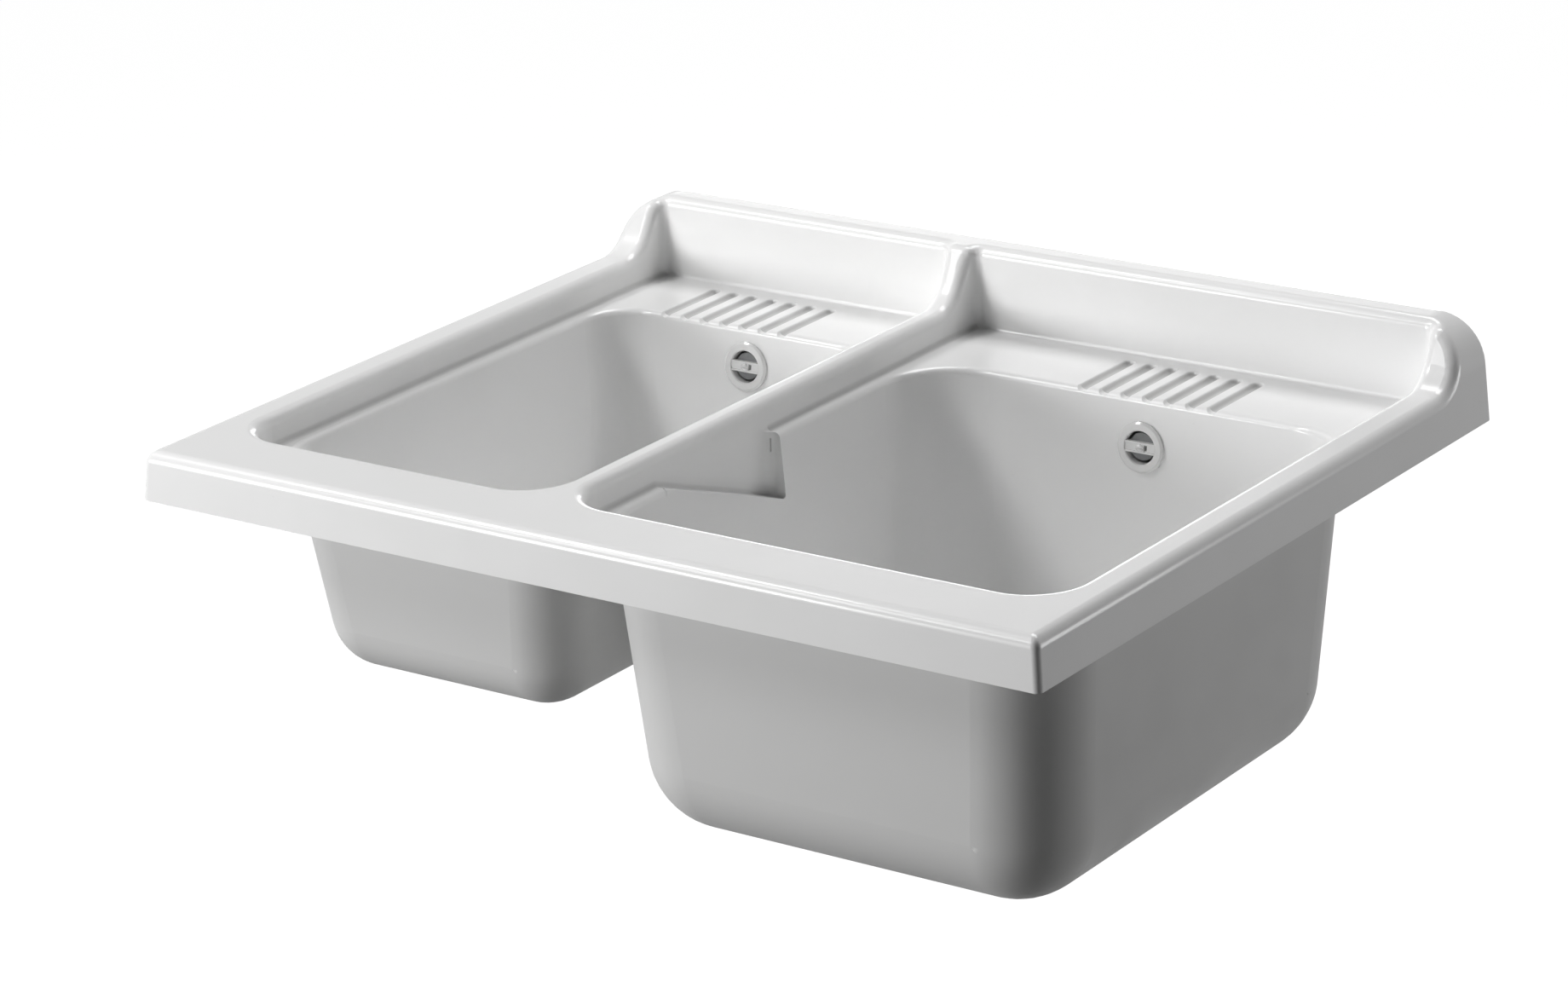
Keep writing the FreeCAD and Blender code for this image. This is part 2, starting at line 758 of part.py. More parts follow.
def overflow(side):
    """Rosette, screw, gasket and elbow on the back wall of one bowl."""
    lean = "atan(sizes.%s_bowl_slope)" % side
    behind = "(-sizes.wall * cos(%s))" % lean
    thick = "sizes.rosette_thickness"
    rosette = node(side + "_overflow_rosette")
    revolve(rosette, side + "_rosette_ring", [
        ("sizes.rosette_opening", "-sizes.wall + 1"),
        ("sizes.rosette_spigot", "-sizes.wall + 1"),
        ("sizes.rosette_spigot", "0"),
        ("sizes.rosette_radius", "0"),
        ("sizes.rosette_radius", thick + " - 1.2"),
        ("sizes.rosette_radius - 1.6", thick),
        ("sizes.rosette_opening + 0.8", thick),
        ("sizes.rosette_opening", thick + " - 0.8"),
    ])
    reach = "(sizes.rosette_opening + 0.5)"
    half = "(sizes.rosette_bar / 2)"
    bar = polygon(rosette, side + "_rosette_bar_plan", "XY_Plane", [
        ("-" + reach, half),
        ("-" + reach, "-" + half),
        (reach, "-" + half),
        (reach, half),
    ], lift="-1")
    pad(rosette, side + "_rosette_bar", bar, thick + " + 0.6")
    rail = "(%s - sizes.rosette_rail)" % half
    block = "sizes.rosette_block"
    face = thick + " - 0.4"
    for end, panel_from, panel_to in (("left", "-" + reach, "-" + block), ("right", block, reach)):
        panel = polygon(rosette, "%s_rosette_%s_panel_plan" % (side, end), "XY_Plane", [
            (panel_from, "-" + rail),
            (panel_to, "-" + rail),
            (panel_to, rail),
            (panel_from, rail),
        ], lift=face)
        pocket(rosette, "%s_rosette_%s_panel" % (side, end), panel, "sizes.rosette_panel")
    hole = circles(rosette, side + "_rosette_hole_plan", "XY_Plane", [
        ("0", "0", "sizes.overflow_screw_radius + sizes.slip"),
    ], lift=thick)
    pocket(rosette, side + "_rosette_hole", hole, "sizes.wall + sizes.rosette_thickness")
    slot_half = "(%s - sizes.rosette_panel)" % rail
    slot = polygon(rosette, side + "_rosette_slot_plan", "XY_Plane", [
        (block, "-" + slot_half),
        (block + " + sizes.rosette_slot", "-" + slot_half),
        (block + " + sizes.rosette_slot", slot_half),
        (block, slot_half),
    ], lift=thick)
    pocket(rosette, side + "_rosette_slot", slot, "sizes.wall + sizes.rosette_thickness")
    face_into_bowl(rosette, side)

    screw = node(side + "_overflow_screw")
    seat = thick + " - 0.4"
    back = "(%s - sizes.gasket_thickness)" % behind
    revolve(screw, side + "_overflow_screw_turn", [
        ("0", "%s - sizes.elbow_length + 4" % back),
        ("sizes.overflow_screw_radius", "%s - sizes.elbow_length + 4" % back),
        ("sizes.overflow_screw_radius", seat),
        ("sizes.overflow_screw_head", seat),
        ("sizes.overflow_screw_head", seat + " + 0.9"),
        ("sizes.overflow_screw_head - 1.2", seat + " + 1.8"),
        ("0", seat + " + 1.8"),
    ])
    drive = polygon(screw, side + "_overflow_screw_drive_plan", "XY_Plane", [
        ("-sizes.overflow_screw_head", "-0.5"),
        ("sizes.overflow_screw_head", "-0.5"),
        ("sizes.overflow_screw_head", "0.5"),
        ("-sizes.overflow_screw_head", "0.5"),
    ], lift=seat + " + 1.8")
    pocket(screw, side + "_overflow_screw_drive", drive, "1")
    face_into_bowl(screw, side)

    gasket = ring(side + "_overflow_gasket", "sizes.overflow_hole + 0.5", "sizes.gasket_radius", back, behind)
    face_into_bowl(gasket, side)

    end = "(%s - sizes.elbow_length)" % back
    cup = new_body(side + "_elbow_cup")
    revolve(cup, side + "_elbow_cup_turn", [
        ("0", back),
        ("sizes.elbow_flange_radius", back),
        ("sizes.elbow_flange_radius", back + " - sizes.elbow_flange_thickness"),
        ("sizes.elbow_radius", back + " - sizes.elbow_flange_thickness"),
        ("sizes.elbow_radius", end + " + 2"),
        ("sizes.elbow_radius - 2", end),
        ("0", end),
    ])
    face_into_bowl(cup, side)
    room = new_body(side + "_elbow_room")
    screw_bore = "(sizes.overflow_screw_radius + 0.1)"
    revolve(room, side + "_elbow_room_turn", [
        ("0", back + " + 1"),
        ("sizes.elbow_bore", back + " + 1"),
        ("sizes.elbow_bore", end + " + 3"),
        ("sizes.elbow_hub", end + " + 3"),
        ("sizes.elbow_hub", back + " - 6"),
        (screw_bore, back + " - 6"),
        (screw_bore, end + " + 2"),
        ("0", end + " + 2"),
    ])
    face_into_bowl(room, side)
    x, y, z = wall_point(side)
    spout_y = "(%s + sizes.spout_offset * cos(%s))" % (y, lean)
    axis_z = "(%s - sizes.spout_offset * sin(%s))" % (z, lean)
    spout_end = "(%s - sizes.spout_length)" % axis_z
    spout = cylinder(side + "_elbow_spout", "sizes.joint_radius", "sizes.spout_length")
    place(spout, x, spout_y, spout_end)
    spout_bore = cylinder(side + "_elbow_spout_bore", "sizes.pipe_radius + sizes.slip", "sizes.spout_length - 7")
    place(spout_bore, x, spout_y, spout_end + " - 1")
    outside = fuse(side + "_elbow_outside", [cup, spout])
    inside = fuse(side + "_elbow_inside", [room, spout_bore])
    elbow = cut(side + "_overflow_elbow", outside, inside)
    document.recompute()
    nodes.append(elbow)
    return x, spout_y, spout_end


def run_of_pipe(name, radius, x, start_y, start_z, low_z, end_y):
    """Upright run, quarter bend and level run of one tube as a solid."""
    bend = "sizes.pipe_bend"
    upper = cylinder(name + "_upright", radius, "%s - %s - %s" % (start_z, low_z, bend))
    place(upper, x, start_y, "%s + %s" % (low_z, bend))
    level = cylinder(name + "_level", radius, "%s - %s - %s" % (start_y, bend, end_y))
    level.Placement = Placement(Vector(0, 0, 0), Rotation(Vector(1, 0, 0), -90))
    place(level, x, end_y, low_z)
    corner = document.addObject("Part::Torus", name + "_bend")
    corner.setExpression("Radius1", bend)
    corner.setExpression("Radius2", radius)
    corner.Angle3 = 90.0
    turned = Rotation(Vector(0, 1, 0), Vector(0, 0, -1), Vector(-1, 0, 0), "XYZ")
    corner.Placement = Placement(Vector(0, 0, 0), turned)
    place(corner, x, "%s - %s" % (start_y, bend), "%s + %s" % (low_z, bend))
    return fuse(name, [upper, corner, level])


def slip_nut(name):
    """Hand-tight nut over a slip joint, its closed end at negative Z."""
    body = node(name)
    inner = "(sizes.pipe_radius + sizes.slip)"
    over = "(sizes.joint_radius + sizes.slip)"
    end = "(-sizes.joint_seal - sizes.nut_end)"
    revolve(body, name + "_turn", [
        (inner, end),
        ("sizes.nut_radius - 1", end),
        ("sizes.nut_radius", end + " + 1"),
        ("sizes.nut_radius", "sizes.nut_skirt"),
        (over, "sizes.nut_skirt"),
        (over, "-sizes.joint_seal"),
        (inner, "-sizes.joint_seal"),
    ])
    grip = circles(body, name + "_grip_plan", "XY_Plane", [
        ("sizes.nut_radius + 1.2", "0", "2.4"),
    ], lift="sizes.nut_skirt")
    first = pocket(body, name + "_grip", grip, "sizes.nut_skirt + sizes.joint_seal + sizes.nut_end - 2")
    polar(body, name + "_grips", first, "8")
    return body


def overflow_pipe(side, x, spout_y, spout_end):
    """Pipe from the elbow down to the waste, with a nut and a seal at each end."""
    low = "(sizes.%s_bowl_bottom + sizes.wall - sizes.inlet_drop)" % side
    inlet_end = "(sizes.waste_y + sizes.inlet_reach)"
    start = "(%s + sizes.pipe_engagement)" % spout_end
    finish = "(%s - sizes.pipe_engagement)" % inlet_end
    outside = run_of_pipe(side + "_pipe_outside", "sizes.pipe_radius", x, spout_y, start, low, finish)
    inside = run_of_pipe(side + "_pipe_inside", "sizes.pipe_bore", x, spout_y, start, low, finish)
    pipe = cut(side + "_overflow_pipe", outside, inside)
    document.recompute()
    nodes.append(pipe)
    inner = "sizes.pipe_radius + sizes.slip"
    outer = "sizes.joint_radius - sizes.slip"
    upper_seal = ring(side + "_upper_pipe_seal", inner, outer, "-sizes.joint_seal", "0")
    place(upper_seal, x, spout_y, spout_end)
    lower_seal = ring(side + "_lower_pipe_seal", inner, outer, "-sizes.joint_seal", "0")
    lower_seal.Placement = Placement(Vector(0, 0, 0), Rotation(Vector(1, 0, 0), 90))
    place(lower_seal, x, inlet_end, low)
    upper_nut = slip_nut(side + "_upper_pipe_nut")
    place(upper_nut, x, spout_y, spout_end)
    lower_nut = slip_nut(side + "_lower_pipe_nut")
    lower_nut.Placement = Placement(Vector(0, 0, 0), Rotation(Vector(1, 0, 0), 90))
    place(lower_nut, x, inlet_end, low)


def waste(side):
    """Strainer flange, seals, waste body, clamping screw and lift-out plug of one bowl."""
    x = "sizes.%s_overflow_x" % side
    floor = "sizes.%s_bowl_bottom + sizes.wall" % side
    seal = "sizes.waste_seal"
    metal = "sizes.flange_thickness"
    cup = "sizes.flange_cup"
    cup_bottom = "(-sizes.flange_cup_depth)"
    cup_floor = "(-sizes.flange_cup_depth + sizes.flange_thickness)"
    shank = "sizes.waste_screw_radius"

    flange = node(side + "_waste_flange")
    revolve(flange, side + "_waste_flange_turn", [
        (shank + " + 0.1", cup_bottom),
        (cup, cup_bottom),
        (cup, seal),
        ("sizes.flange_radius", seal),
        ("sizes.flange_radius", "%s + %s * 0.5" % (seal, metal)),
        ("sizes.flange_radius - 2", "%s + %s" % (seal, metal)),
        ("%s + 1" % cup, "%s + %s" % (seal, metal)),
        ("%s - %s" % (cup, metal), "%s - 1" % seal),
        ("%s - %s" % (cup, metal), cup_floor),
        (shank + " + 0.1", cup_floor),
    ])
    drain = circles(flange, side + "_strainer_plan", "XY_Plane", [
        ("sizes.strainer_circle", "0", "sizes.strainer_hole"),
    ])
    first = pocket(flange, side + "_strainer_hole", drain, "sizes.flange_cup_depth + 1")
    polar(flange, side + "_strainer_holes", first, "sizes.strainer_count")
    place(flange, x, "sizes.waste_y", floor)

    under = "(-sizes.wall - %s)" % seal
    seal_bore = "sizes.waste_hole + 0.5"
    upper_seal = ring(side + "_waste_flange_seal", seal_bore, "sizes.waste_seal_radius", "0", seal)
    place(upper_seal, x, "sizes.waste_y", floor)
    lower_seal = ring(side + "_waste_body_seal", seal_bore, "sizes.waste_seal_radius", under, "-sizes.wall")
    place(lower_seal, x, "sizes.waste_y", floor)

    body = node(side + "_waste_body")
    inside = "(sizes.body_radius - sizes.body_wall)"
    bottom = "(-sizes.outlet_top - sizes.outlet_length)"
    revolve(body, side + "_waste_body_turn", [
        ("0", under),
        ("sizes.body_flange_radius", under),
        ("sizes.body_flange_radius", under + " - sizes.body_flange_thickness"),
        ("sizes.body_radius", under + " - sizes.body_flange_thickness"),
        ("sizes.body_radius", "-sizes.body_depth"),
        ("sizes.outlet_radius", "-sizes.outlet_top"),
        ("sizes.outlet_radius", bottom),
        ("0", bottom),
    ])
    inlet = circles(body, side + "_inlet_plan", "XZ_Plane", [("0", "-sizes.inlet_drop", "sizes.joint_radius")])
    pad(body, side + "_inlet", inlet, "sizes.inlet_reach", reverse=True)
    groove(body, side + "_waste_room", [
        ("0", under + " + 1"),
        (inside, under + " + 1"),
        (inside, "-sizes.body_depth"),
        ("sizes.outlet_bore", "-sizes.outlet_top"),
        ("sizes.outlet_bore", bottom + " - 1"),
        ("0", bottom + " - 1"),
    ])
    way_in = circles(body, side + "_inlet_bore_plan", "XZ_Plane", [
        ("0", "-sizes.inlet_drop", "sizes.pipe_radius + sizes.slip"),
    ], lift="-sizes.body_radius + sizes.hub_radius + 5")
    pocket(body, side + "_inlet_bore", way_in, "sizes.inlet_reach")
    rib = polygon(body, side + "_hub_rib_plan", "XY_Plane", [
        ("-%s - 0.5" % inside, "-sizes.hub_rib / 2"),
        ("%s + 0.5" % inside, "-sizes.hub_rib / 2"),
        ("%s + 0.5" % inside, "sizes.hub_rib / 2"),
        ("-%s - 0.5" % inside, "sizes.hub_rib / 2"),
    ], lift="-sizes.hub_top")
    pad(body, side + "_hub_rib", rib, "sizes.hub_height", reverse=True)
    hub = circles(body, side + "_hub_plan", "XY_Plane", [("0", "0", "sizes.hub_radius")], lift="-sizes.hub_top")
    pad(body, side + "_hub", hub, "sizes.hub_height", reverse=True)
    thread = circles(body, side + "_hub_bore_plan", "XY_Plane", [
        ("0", "0", shank + " + 0.1"),
    ], lift="-sizes.hub_top + 1")
    pocket(body, side + "_hub_bore", thread, "sizes.hub_height + 2")
    place(body, x, "sizes.waste_y", floor)

    screw = node(side + "_waste_screw")
    revolve(screw, side + "_waste_screw_turn", [
        ("0", "%s - sizes.waste_screw_length" % cup_floor),
        (shank, "%s - sizes.waste_screw_length" % cup_floor),
        (shank, cup_floor),
        ("sizes.waste_screw_head", cup_floor),
        ("sizes.waste_screw_head", cup_floor + " + 1.8"),
        ("sizes.waste_screw_head - 1.5", cup_floor + " + 3"),
        ("0", cup_floor + " + 3"),
    ])
    drive = polygon(screw, side + "_waste_screw_drive_plan", "XY_Plane", [
        ("-sizes.waste_screw_head", "-0.6"),
        ("sizes.waste_screw_head", "-0.6"),
        ("sizes.waste_screw_head", "0.6"),
        ("-sizes.waste_screw_head", "0.6"),
    ], lift=cup_floor + " + 3")
    pocket(screw, side + "_waste_screw_drive", drive, "1.2")
    place(screw, x, "sizes.waste_y", floor)

    rest = "(%s + sizes.plug_gap)" % cup_floor
    cap_low = "(%s + sizes.plug_seal_height)" % rest
    cap_high = "(%s + sizes.plug_cap_thickness)" % cap_low
    fit = "(%s - %s - sizes.plug_gap)" % (cup, metal)
    plug_seal = ring(side + "_plug_seal", "sizes.plug_seal_bore", fit, rest, cap_low)
    place(plug_seal, x, "sizes.waste_y", floor)
    cap = node(side + "_plug_cap")
    revolve(cap, side + "_plug_cap_turn", [
        ("0", cap_low + " - 1.5"),
        ("sizes.plug_seal_bore - 0.1", cap_low + " - 1.5"),
        ("sizes.plug_seal_bore - 0.1", cap_low),
        (fit + " - 0.2", cap_low),
        (fit + " - 0.2", cap_high + " - 1"),
        (fit + " - 3", cap_high),
        ("0", cap_high),
    ])
    place(cap, x, "sizes.waste_y", floor)
    knob = node(side + "_plug_knob")
    knob_top = "(%s + sizes.knob_height)" % cap_high
    revolve(knob, side + "_plug_knob_turn", [
        ("0", cap_high),
        ("sizes.knob_radius - 1.5", cap_high),
        ("sizes.knob_radius - 3", cap_high + " + 2"),
        ("sizes.knob_radius - 3", cap_high + " + 5"),
        ("sizes.knob_radius", knob_top + " - 4"),
        ("sizes.knob_radius", knob_top + " - 1.5"),
        ("sizes.knob_radius - 2", knob_top),
        ("0", knob_top),
    ])
    place(knob, x, "sizes.waste_y", floor)


for side in ("left", "right"):
    spout = overflow(side)
    overflow_pipe(side, *spout)
    waste(side)

document.recompute()

# Check every object, then write one file for each piece

for thing in document.Objects:
    if "Invalid" in thing.State or "Error" in thing.State:
        raise ValueError("object %s is %s" % (thing.Label, thing.State))
os.makedirs("parts", exist_ok=True)
for piece in nodes:
    shape = piece.Shape
    if shape.isNull() or not shape.isValid() or len(shape.Solids) != 1:
        raise ValueError("piece %s is not one valid solid" % piece.Label)
    shape.exportStep(os.path.join("parts", piece.Label + ".step"))
    box = shape.BoundBox
    print("%-26s %8.1f cm3  z %7.1f to %7.1f" % (piece.Label, shape.Volume / 1000.0, box.ZMin, box.ZMax))
print("pieces", len(nodes))
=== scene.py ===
import json
import math

import bpy
from mathutils import Matrix, Vector


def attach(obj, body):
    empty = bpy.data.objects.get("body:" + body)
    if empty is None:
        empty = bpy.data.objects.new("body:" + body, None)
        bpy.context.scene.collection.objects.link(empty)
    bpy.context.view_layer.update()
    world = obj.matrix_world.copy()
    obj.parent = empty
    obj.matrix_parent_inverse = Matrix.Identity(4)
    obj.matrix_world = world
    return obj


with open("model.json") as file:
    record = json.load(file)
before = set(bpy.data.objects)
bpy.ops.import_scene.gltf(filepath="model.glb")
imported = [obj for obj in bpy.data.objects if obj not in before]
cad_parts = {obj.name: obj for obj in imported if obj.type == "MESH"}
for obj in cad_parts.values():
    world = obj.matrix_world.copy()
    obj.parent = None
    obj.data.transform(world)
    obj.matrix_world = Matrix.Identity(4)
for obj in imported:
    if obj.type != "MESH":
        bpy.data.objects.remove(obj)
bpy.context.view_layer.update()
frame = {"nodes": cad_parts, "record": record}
scene = bpy.context.scene
scene.view_settings.view_transform = "Standard"

# Camera at the photograph's viewing angle

IMAGE_WIDTH = 1840
FOCAL_PIXELS = 5856.4
SENSOR_WIDTH = 36.0
VIEW_LIMIT = 60.0
CAMERA_PLACE = Vector((1.9434, -3.0481, 1.1673))
CAMERA_YAW = math.radians(35.802)
CAMERA_PITCH = math.radians(19.501)
CAMERA_ROLL = math.radians(-2.362)


def make_camera():
    forward = Vector((
        -math.sin(CAMERA_YAW) * math.cos(CAMERA_PITCH),
        math.cos(CAMERA_YAW) * math.cos(CAMERA_PITCH),
        -math.sin(CAMERA_PITCH),
    ))
    level_right = Vector((math.cos(CAMERA_YAW), math.sin(CAMERA_YAW), 0.0))
    level_down = forward.cross(level_right)
    right = level_right * math.cos(CAMERA_ROLL) - level_down * math.sin(CAMERA_ROLL)
    down = level_right * math.sin(CAMERA_ROLL) + level_down * math.cos(CAMERA_ROLL)
    data = bpy.data.cameras.new("photo_camera")
    data.sensor_width = SENSOR_WIDTH
    data.lens = FOCAL_PIXELS / IMAGE_WIDTH * SENSOR_WIDTH
    data.clip_end = VIEW_LIMIT
    camera = bpy.data.objects.new("photo_camera", data)
    turn = Matrix((right, -down, -forward)).transposed().to_4x4()
    camera.matrix_world = Matrix.Translation(CAMERA_PLACE) @ turn
    scene.collection.objects.link(camera)
    scene.camera = camera


make_camera()

# Node helpers

FLOAT = "NodeSocketFloat"
VECTOR = "NodeSocketVector"


class Sheet:
    """A node tree with short ways to add and join nodes."""

    def __init__(self, tree):
        self.tree = tree

    def add(self, kind, **values):
        node = self.tree.nodes.new(kind)
        for name, value in values.items():
            setattr(node, name, value)
        return node

    def join(self, source, target):
        self.tree.links.new(source, target)

    def feed(self, value, socket):
        """A number is set on the socket, anything else is joined to it."""
        if isinstance(value, (int, float)):
            socket.default_value = value
        else:
            self.join(value, socket)

    def noise(self, vector, scale, detail, roughness=0.5):
        node = self.add("ShaderNodeTexNoise")
        node.inputs["Detail"].default_value = detail
        node.inputs["Roughness"].default_value = roughness
        self.join(vector, node.inputs["Vector"])
        self.feed(scale, node.inputs["Scale"])
        return node.outputs["Fac"]

    def axes(self, vector):
        node = self.add("ShaderNodeSeparateXYZ")
        self.join(vector, node.inputs[0])
        return node.outputs

    def math(self, operation, first, second=0.0, clamp=False):
        node = self.add("ShaderNodeMath", operation=operation, use_clamp=clamp)
        self.feed(first, node.inputs[0])
        self.feed(second, node.inputs[1])
        return node.outputs[0]

    def vector_math(self, operation, first, second):
        node = self.add("ShaderNodeVectorMath", operation=operation)
        self.join(first, node.inputs[0])
        self.join(second, node.inputs[1])
        return node.outputs

    def spread(self, value, low, high, out_low, out_high):
        node = self.add("ShaderNodeMapRange")
        self.feed(value, node.inputs["Value"])
        self.feed(low, node.inputs["From Min"])
        self.feed(high, node.inputs["From Max"])
        self.feed(out_low, node.inputs["To Min"])
        self.feed(out_high, node.inputs["To Max"])
        return node.outputs["Result"]

    def rise(self, value, low, high):
        """From 0 at the first limit to 1 at the second."""
        return self.spread(value, low, high, 0.0, 1.0)

    def fall(self, value, low, high):
        """From 1 at the first limit to 0 at the second."""
        return self.spread(value, low, high, 1.0, 0.0)

    def blend(self, share, first, second):
        node = self.add("ShaderNodeMix", data_type="RGBA")
        self.feed(share, node.inputs["Factor"])
        for value, socket in ((first, node.inputs["A"]), (second, node.inputs["B"])):
            if isinstance(value, tuple):
                socket.default_value = (*value, 1.0)
            else:
                self.join(value, socket)
        return node.outputs["Result"]


def start_group(name, inputs, outputs, kind="ShaderNodeTree"):
    """A node group with named inputs and outputs. An input's default may be None."""
    tree = bpy.data.node_groups.new(name, kind)
    for label, socket_kind, value in inputs:
        socket = tree.interface.new_socket(label, in_out="INPUT", socket_type=socket_kind)
        if value is not None:
            socket.default_value = value
    for label, socket_kind in outputs:
        tree.interface.new_socket(label, in_out="OUTPUT", socket_type=socket_kind)
    sheet = Sheet(tree)
    return sheet, sheet.add("NodeGroupInput").outputs, sheet.add("NodeGroupOutput").inputs


# Surface patterns


def make_moulded_skin():
    """Slow waves, fine orange peel and faint flow marks of a moulded plastic surface."""
    sheet, given, result = start_group("moulded_skin", [
        ("Place", VECTOR, None),
        ("Wave Scale", FLOAT, 16.0),
        ("Peel Scale", FLOAT, 700.0),
        ("Peel Share", FLOAT, 0.12),
        ("Mottle Scale", FLOAT, 6.0),
    ], [("Height", FLOAT), ("Mottle", FLOAT), ("Smudge", FLOAT)])
    waves = sheet.noise(given["Place"], given["Wave Scale"], 1.0)
    peel = sheet.noise(given["Place"], given["Peel Scale"], 1.0)
    height = sheet.math("ADD", waves, sheet.math("MULTIPLY", peel, given["Peel Share"]))
    sheet.join(height, result["Height"])
    mottle = sheet.noise(given["Place"], given["Mottle Scale"], 4.0, 0.6)
    sheet.join(sheet.rise(mottle, 0.3, 0.7), result["Mottle"])
    patch_scale = sheet.math("MULTIPLY", given["Mottle Scale"], 4.5)
    patches = sheet.noise(given["Place"], patch_scale, 5.0, 0.65)
    sheet.join(sheet.rise(patches, 0.42, 0.72), result["Smudge"])
    return sheet.tree


def make_fine_specks():
    """Sparse small specks, such as dust or mould pips, as a mask."""
    sheet, given, result = start_group("fine_specks", [
        ("Place", VECTOR, None),
        ("Scale", FLOAT, 260.0),
        ("Amount", FLOAT, 0.06),
    ], [("Mask", FLOAT)])
    cells = sheet.add("ShaderNodeTexVoronoi", feature="F1")
    sheet.join(given["Place"], cells.inputs["Vector"])
    sheet.join(given["Scale"], cells.inputs["Scale"])
    near = sheet.fall(cells.outputs["Distance"], 0.05, 0.16)
    split = sheet.add("ShaderNodeSeparateColor")
    sheet.join(cells.outputs["Color"], split.inputs["Color"])
    chosen = sheet.math("LESS_THAN", split.outputs["Red"], given["Amount"])
    sheet.join(sheet.math("MULTIPLY", near, chosen), result["Mask"])
    return sheet.tree


def make_hairline_scuffs():
    """Long hairline scratches that run along one direction of the given place."""
    sheet, given, result = start_group("hairline_scuffs", [
        ("Place", VECTOR, None),
        ("Scale", FLOAT, 120.0),
        ("Stretch", FLOAT, 0.04),
    ], [("Height", FLOAT), ("Scuff", FLOAT)])
    squeeze = sheet.add("ShaderNodeCombineXYZ")
    squeeze.inputs["Y"].default_value = 1.0
    squeeze.inputs["Z"].default_value = 1.0
    sheet.join(given["Stretch"], squeeze.inputs["X"])
    drawn = sheet.vector_math("MULTIPLY", given["Place"], squeeze.outputs[0])["Vector"]
    line_scale = sheet.math("MULTIPLY", given["Scale"], 12.0)
    lines = sheet.noise(drawn, line_scale, 3.0, 0.6)
    sheet.join(lines, result["Height"])
    broad = sheet.noise(given["Place"], given["Scale"], 3.0)
    mixed = sheet.math("MULTIPLY", lines, broad)
    sheet.join(sheet.rise(mixed, 0.12, 0.4), result["Scuff"])
    return sheet.tree


def make_back_of_moulding():
    """Mask of the duller outside of two bowls, where the greyer colour is painted shade: faces below the
    rim that point away from their bowl.
    """
    sheet, given, result = start_group("back_of_moulding", [
        ("Place", VECTOR, None),
        ("Facing", VECTOR, None),
        ("Left Centre", VECTOR, None),
        ("Right Centre", VECTOR, None),
        ("Divide", FLOAT, -0.06),
    ], [("Mask", FLOAT)])
    place = sheet.axes(given["Place"])
    centre = sheet.add("ShaderNodeMix", data_type="VECTOR")
    sheet.join(sheet.math("GREATER_THAN", place["X"], given["Divide"]), centre.inputs["Factor"])
    sheet.join(given["Left Centre"], centre.inputs["A"])
    sheet.join(given["Right Centre"], centre.inputs["B"])
    offset = sheet.vector_math("SUBTRACT", given["Place"], centre.outputs["Result"])["Vector"]
    outward = sheet.vector_math("DOT_PRODUCT", offset, given["Facing"])["Value"]
    away = sheet.rise(outward, 0.0, 0.02)
    below = sheet.rise(place["Z"], 0.0, -0.01)
    sheet.join(sheet.math("MULTIPLY", away, below), result["Mask"])
    return sheet.tree


def make_painted_crease_shade():
    """Mask of painted shade along the foot of a recess wall, which dips where a notch lowers the ledge.
    """
    sheet, given, result = start_group("painted_crease_shade", [
        ("Place", VECTOR, None),
        ("Wall", FLOAT, -0.342),
        ("Ledge", FLOAT, 0.0127),
        ("Front", FLOAT, -0.545),
        ("Back", FLOAT, -0.03),
        ("Notch Start", FLOAT, -0.44),
        ("Notch End", FLOAT, -0.303),
        ("Notch Depth", FLOAT, 0.0),
        ("Core", FLOAT, 0.001),
        ("Reach", FLOAT, 0.0045),
    ], [("Mask", FLOAT)])
    place = sheet.axes(given["Place"])
    sunk = sheet.spread(place["Y"], given["Notch Start"], given["Notch End"], 0.0, given["Notch Depth"])
    in_notch = sheet.math("LESS_THAN", place["Y"], given["Notch End"])
    level = sheet.math("SUBTRACT", given["Ledge"], sheet.math("MULTIPLY", sunk, in_notch))
    across = sheet.math("SUBTRACT", place["X"], given["Wall"])
    above = sheet.math("SUBTRACT", place["Z"], level)
    across_squared = sheet.math("MULTIPLY", across, across)
    above_squared = sheet.math("MULTIPLY", above, above)
    distance = sheet.math("SQRT", sheet.math("ADD", across_squared, above_squared))
    line = sheet.fall(distance, given["Core"], given["Reach"])
    behind_front = sheet.math("GREATER_THAN", place["Y"], given["Front"])
    before_back = sheet.math("LESS_THAN", place["Y"], given["Back"])
    inside = sheet.math("MULTIPLY", behind_front, before_back)
    sheet.join(sheet.math("MULTIPLY", line, inside), result["Mask"])
    return sheet.tree


def make_painted_groove_shade():
    """Mask of painted shade in the bottom of grooves sunk into a level shelf."""
    sheet, given, result = start_group("painted_groove_shade", [
        ("Place", VECTOR, None),
        ("Facing", VECTOR, None),
        ("Shelf", FLOAT, 0.0127),
        ("Depth", FLOAT, 0.0032),
        ("Lip", FLOAT, -0.107),
    ], [("Mask", FLOAT)])
    place = sheet.axes(given["Place"])
    facing = sheet.axes(given["Facing"])
    below_shelf = sheet.math("SUBTRACT", given["Shelf"], place["Z"])
    sunk = sheet.math("DIVIDE", below_shelf, given["Depth"])
    above_floor = sheet.math("LESS_THAN", sunk, 1.1)
    film = sheet.math("MULTIPLY", sheet.rise(sunk, 0.05, 0.7), above_floor)
    upward = sheet.rise(facing["Z"], 0.2, 0.5)
    behind_lip = sheet.math("GREATER_THAN", place["Y"], given["Lip"])
    film = sheet.math("MULTIPLY", film, sheet.math("MULTIPLY", upward, behind_lip))
    sheet.join(film, result["Mask"])
    return sheet.tree


MOULDED_SKIN = make_moulded_skin()
FINE_SPECKS = make_fine_specks()
HAIRLINE_SCUFFS = make_hairline_scuffs()
BACK_OF_MOULDING = make_back_of_moulding()
PAINTED_CREASE_SHADE = make_painted_crease_shade()
PAINTED_GROOVE_SHADE = make_painted_groove_shade()

# Finishes

